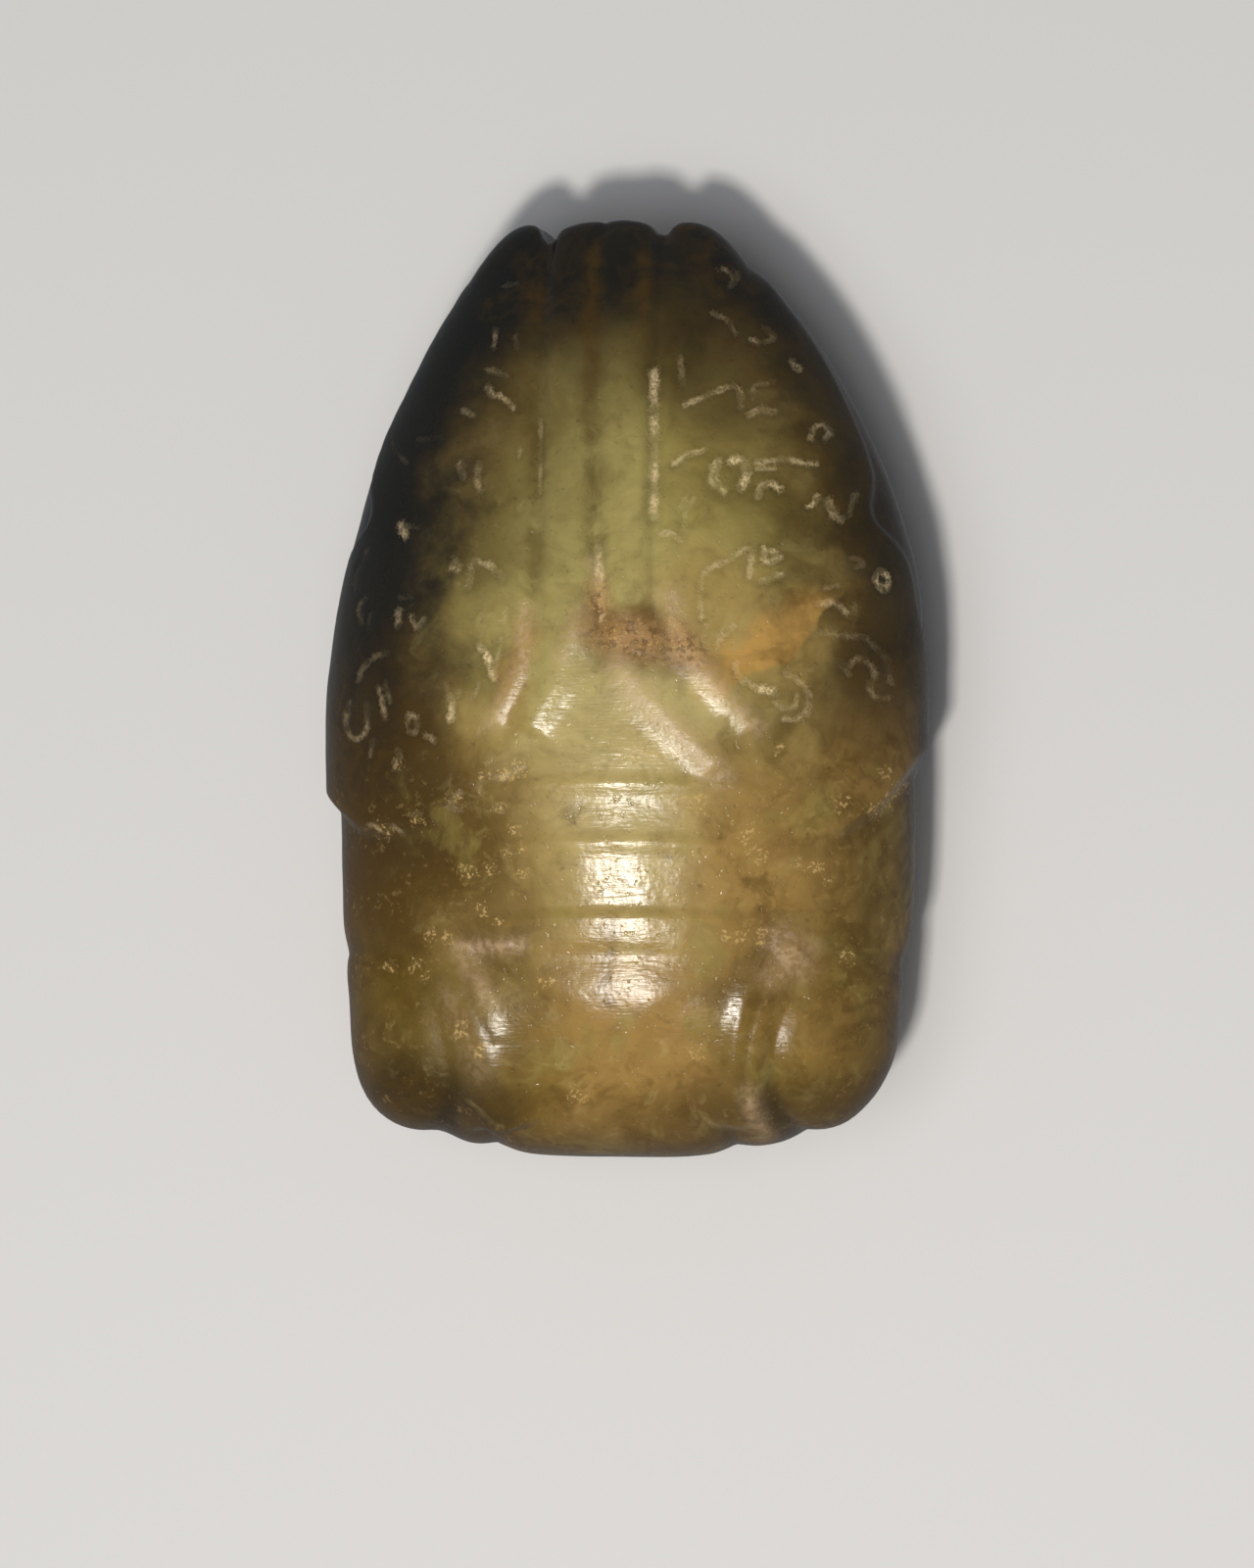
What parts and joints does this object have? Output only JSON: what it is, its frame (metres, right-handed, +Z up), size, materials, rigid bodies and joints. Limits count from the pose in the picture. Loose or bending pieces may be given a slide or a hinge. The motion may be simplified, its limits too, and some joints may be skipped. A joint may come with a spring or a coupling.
{
  "type": "jade cicada",
  "caption": "Carved jade cicada lying on its belly, with domed eyes, cross beads on the thorax, a V-shaped collar and two folded wings with a fluted strip between them.",
  "frame": {"origin": "on the surface the cicada lies on, under the middle of its outline", "axes": "+Z up out of the back, +Y towards the wing tips, -Y towards the head, +X to the right when seen from above with the head towards the viewer"},
  "size_m": [0.039, 0.06, 0.022],
  "materials": {
    "jade": "polished nephrite, yellow-green with brown stains, waxy"
  },
  "bodies": {
    "root": {"jade_cicada": "jade"}
  },
  "joints": []
}
